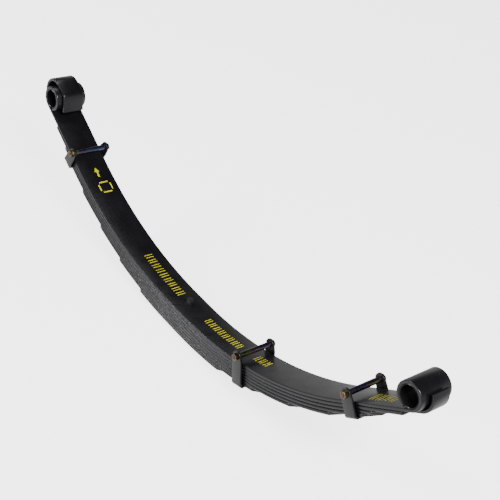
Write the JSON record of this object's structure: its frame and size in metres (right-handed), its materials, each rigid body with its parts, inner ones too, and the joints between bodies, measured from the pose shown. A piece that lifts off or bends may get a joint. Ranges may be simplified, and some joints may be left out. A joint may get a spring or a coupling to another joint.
{
  "type": "leaf spring",
  "caption": "Semi-elliptic multi-leaf suspension spring with rolled eyes, a wrapped second leaf, bolted rebound clips and a centre bolt.",
  "frame": {"origin": "middle of the main leaf's top face, on the centre bolt's axis at the base of its locating head", "axes": "+X along the leaves to the longer arm's eye, +Y across the leaves, +Z out of the main leaf's top face towards the axle seat"},
  "size_m": [1.1784, 0.0968, 0.3422],
  "materials": {
    "leaf_paint": "satin",
    "clip_paint": "satin",
    "liner_steel": "satin",
    "centre_steel": "satin",
    "bolt_steel": "zinc plated",
    "nut_zinc": "yellow zinc plated",
    "spacer_zinc": "passivated zinc",
    "slip_liner": "matte"
  },
  "bodies": {
    "leaf_pack": {"main_leaf": "leaf_paint", "wrap_leaf": "leaf_paint", "leaf_3": "leaf_paint", "leaf_4": "leaf_paint", "leaf_5": "leaf_paint", "leaf_6": "leaf_paint", "leaf_7": "leaf_paint", "leaf_8": "leaf_paint", "centre_bolt": "centre_steel", "centre_nut": "centre_steel", "mid_clip_strap": "clip_paint", "mid_clip_bolt": "bolt_steel", "mid_clip_nut": "nut_zinc", "mid_clip_spacer": "spacer_zinc", "mid_clip_rivet": "clip_paint", "front_inner_slip_liners": "slip_liner", "front_outer_slip_liners": "slip_liner", "rear_inner_slip_liners": "slip_liner", "rear_outer_slip_liners": "slip_liner"},
    "front_arm": {"front_eye_liner": "liner_steel", "front_clip_strap": "clip_paint", "front_clip_bolt": "bolt_steel", "front_clip_nut": "nut_zinc", "front_clip_spacer": "spacer_zinc", "front_clip_rivet": "clip_paint"},
    "rear_arm": {"rear_eye_liner": "liner_steel", "rear_clip_strap": "clip_paint", "rear_clip_bolt": "bolt_steel", "rear_clip_nut": "nut_zinc", "rear_clip_spacer": "spacer_zinc", "rear_clip_rivet": "clip_paint"}
  },
  "joints": [
    {"name": "front_flex", "type": "hinge", "parent": "leaf_pack", "child": "front_arm", "pos_m": [-0.29552, 0, 0.04495], "axis": [0, -1, 0], "range_deg": [-3, 22], "stiffness_Nm_per_rad": 1700, "deforming": ["main_leaf", "wrap_leaf", "leaf_3", "leaf_4", "leaf_5", "leaf_6", "leaf_7", "front_outer_slip_liners"]},
    {"name": "rear_flex", "type": "hinge", "parent": "leaf_pack", "child": "rear_arm", "pos_m": [0.34983, 0, 0.07645], "axis": [0, 1, 0], "range_deg": [-3, 22], "stiffness_Nm_per_rad": 1700, "deforming": ["main_leaf", "wrap_leaf", "leaf_3", "leaf_4", "leaf_5", "leaf_6", "leaf_7", "rear_outer_slip_liners"]}
  ]
}
